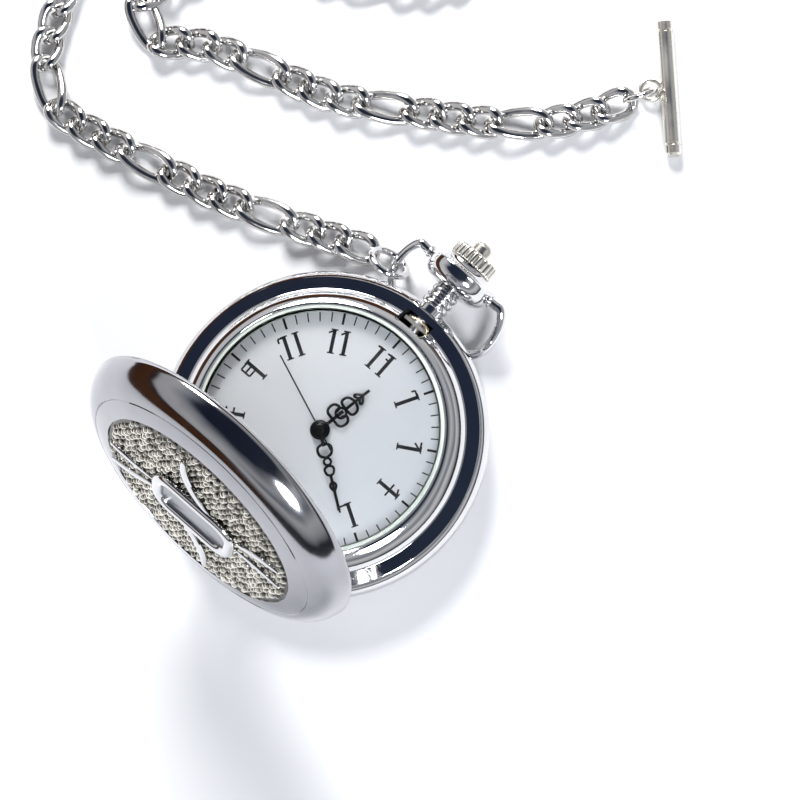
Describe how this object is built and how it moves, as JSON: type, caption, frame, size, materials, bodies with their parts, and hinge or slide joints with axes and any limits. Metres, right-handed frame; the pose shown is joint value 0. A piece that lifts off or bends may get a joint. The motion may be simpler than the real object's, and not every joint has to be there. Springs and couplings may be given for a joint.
{
  "type": "pocket watch",
  "caption": "Chromed pocket watch with a domed hunter lid standing open, numbered dial, filigree hands, bow, crown with push button, and a figaro chain ending in a T-bar.",
  "frame": {"origin": "middle of the flat on the back cover that the watch rests on, on the axis of the hands", "axes": "+Z out through the dial, +Y towards 12 o'clock and the crown, +X towards 3 o'clock"},
  "size_m": [0.1008, 0.0989, 0.0507],
  "materials": {
    "chrome": "mirror polished",
    "steel": "bare",
    "beaded_silver": "beaded, warm silver",
    "plaque": "satin",
    "gasket": "pale grey-green",
    "back_gasket": "black",
    "crystal": "clear",
    "dial": "silvery white, satin",
    "hands": "black",
    "brass": "satin",
    "movement_plastic": "off-white",
    "rotor": "dark",
    "board": "green",
    "chip": "black",
    "can": "drawn",
    "coil": "enamelled copper wire"
  },
  "bodies": {
    "case": {"case_middle": "chrome", "back_cover": "chrome", "back_gasket": "back_gasket", "bezel": "chrome", "crystal_gasket": "gasket", "crystal": "crystal", "lid_hinge_pin": "chrome", "catch_spring": "steel", "lid_spring": "steel", "pendant": "chrome", "dial": "dial", "main_plate": "brass", "train_bridge": "brass", "bridge_screws": "steel", "battery": "steel", "battery_clamp": "steel", "circuit_board": "board", "timing_chip": "chip", "quartz_crystal": "can", "drive_coil": "coil", "coil_core": "steel", "stator": "steel", "movement_holder": "movement_plastic", "chain_short_links": "chrome", "chain_long_links": "chrome", "t_bar": "chrome", "t_bar_ring": "chrome"},
    "lid": {"lid_shell": "chrome", "lid_medallion": "beaded_silver", "lid_plaque": "plaque"},
    "stem": {"setting_stem": "steel"},
    "crown": {"crown": "chrome"},
    "button": {"push_button": "chrome"},
    "catch": {"lid_catch": "chrome"},
    "bow": {"bow": "chrome", "jump_ring": "chrome"},
    "seconds": {"seconds_wheel": "brass", "second_hand": "hands"},
    "intermediate": {"intermediate_wheel": "movement_plastic"},
    "rotor": {"rotor": "rotor"},
    "third": {"third_wheel": "brass"},
    "centre": {"centre_wheel": "brass", "minute_hand": "hands"},
    "minute_works": {"minute_wheel": "brass"},
    "hour": {"hour_wheel": "movement_plastic", "hour_hand": "hands"}
  },
  "joints": [
    {"name": "lid_hinge", "type": "hinge", "parent": "case", "child": "lid", "pos_m": [0, -0.02204, 0.0087], "axis": [1, 0, 0], "range_deg": [-72.1, 0], "stiffness_Nm_per_rad": 0.002, "springref_deg": 45.84},
    {"name": "stem_pull", "type": "slide", "parent": "case", "child": "stem", "axis": [0, 1, 0], "range_m": [0, 0.0008]},
    {"name": "crown_turn", "type": "hinge", "parent": "stem", "child": "crown", "pos_m": [0, 0.03, 0.006], "axis": [0, 1, 0], "continuous": true},
    {"name": "button_push", "type": "slide", "parent": "case", "child": "button", "axis": [0, 1, 0], "range_m": [-0.0008, 0], "stiffness_N_per_m": 900, "springref_m": 0.0004},
    {"name": "catch_draw", "type": "slide", "parent": "case", "child": "catch", "axis": [0, 1, 0], "range_m": [-0.0008, 0]},
    {"name": "bow_swing", "type": "hinge", "parent": "case", "child": "bow", "pos_m": [0, 0.02825, 0.006], "axis": [1, 0, 0], "range_deg": [0, 275]},
    {"name": "seconds_turn", "type": "hinge", "parent": "case", "child": "seconds", "pos_m": [0, 0, 0.006], "axis": [0, 0, 1], "continuous": true},
    {"name": "intermediate_turn", "type": "hinge", "parent": "case", "child": "intermediate", "pos_m": [0.00153, 0.00153, 0.005], "axis": [0, 0, 1], "continuous": true},
    {"name": "rotor_turn", "type": "hinge", "parent": "case", "child": "rotor", "pos_m": [0.00342, 0.00244, 0.005], "axis": [0, 0, 1], "continuous": true},
    {"name": "third_turn", "type": "hinge", "parent": "case", "child": "third", "pos_m": [-0.0015, -0.0015, 0.005], "axis": [0, 0, 1], "continuous": true},
    {"name": "centre_turn", "type": "hinge", "parent": "case", "child": "centre", "pos_m": [0, 0, 0.006], "axis": [0, 0, 1], "continuous": true},
    {"name": "minute_wheel_turn", "type": "hinge", "parent": "case", "child": "minute_works", "pos_m": [0, 0.0024, 0.007], "axis": [0, 0, 1], "continuous": true},
    {"name": "hour_turn", "type": "hinge", "parent": "case", "child": "hour", "pos_m": [0, 0, 0.007], "axis": [0, 0, 1], "continuous": true}
  ],
  "couplings": [
    {"joint": "catch_draw", "follows": "button_push", "ratio": 1},
    {"joint": "intermediate_turn", "follows": "seconds_turn", "ratio": -5},
    {"joint": "rotor_turn", "follows": "seconds_turn", "ratio": 30},
    {"joint": "third_turn", "follows": "seconds_turn", "ratio": -0.13333},
    {"joint": "centre_turn", "follows": "seconds_turn", "ratio": 0.016667},
    {"joint": "minute_wheel_turn", "follows": "seconds_turn", "ratio": -0.0055556},
    {"joint": "hour_turn", "follows": "seconds_turn", "ratio": 0.0013889}
  ]
}
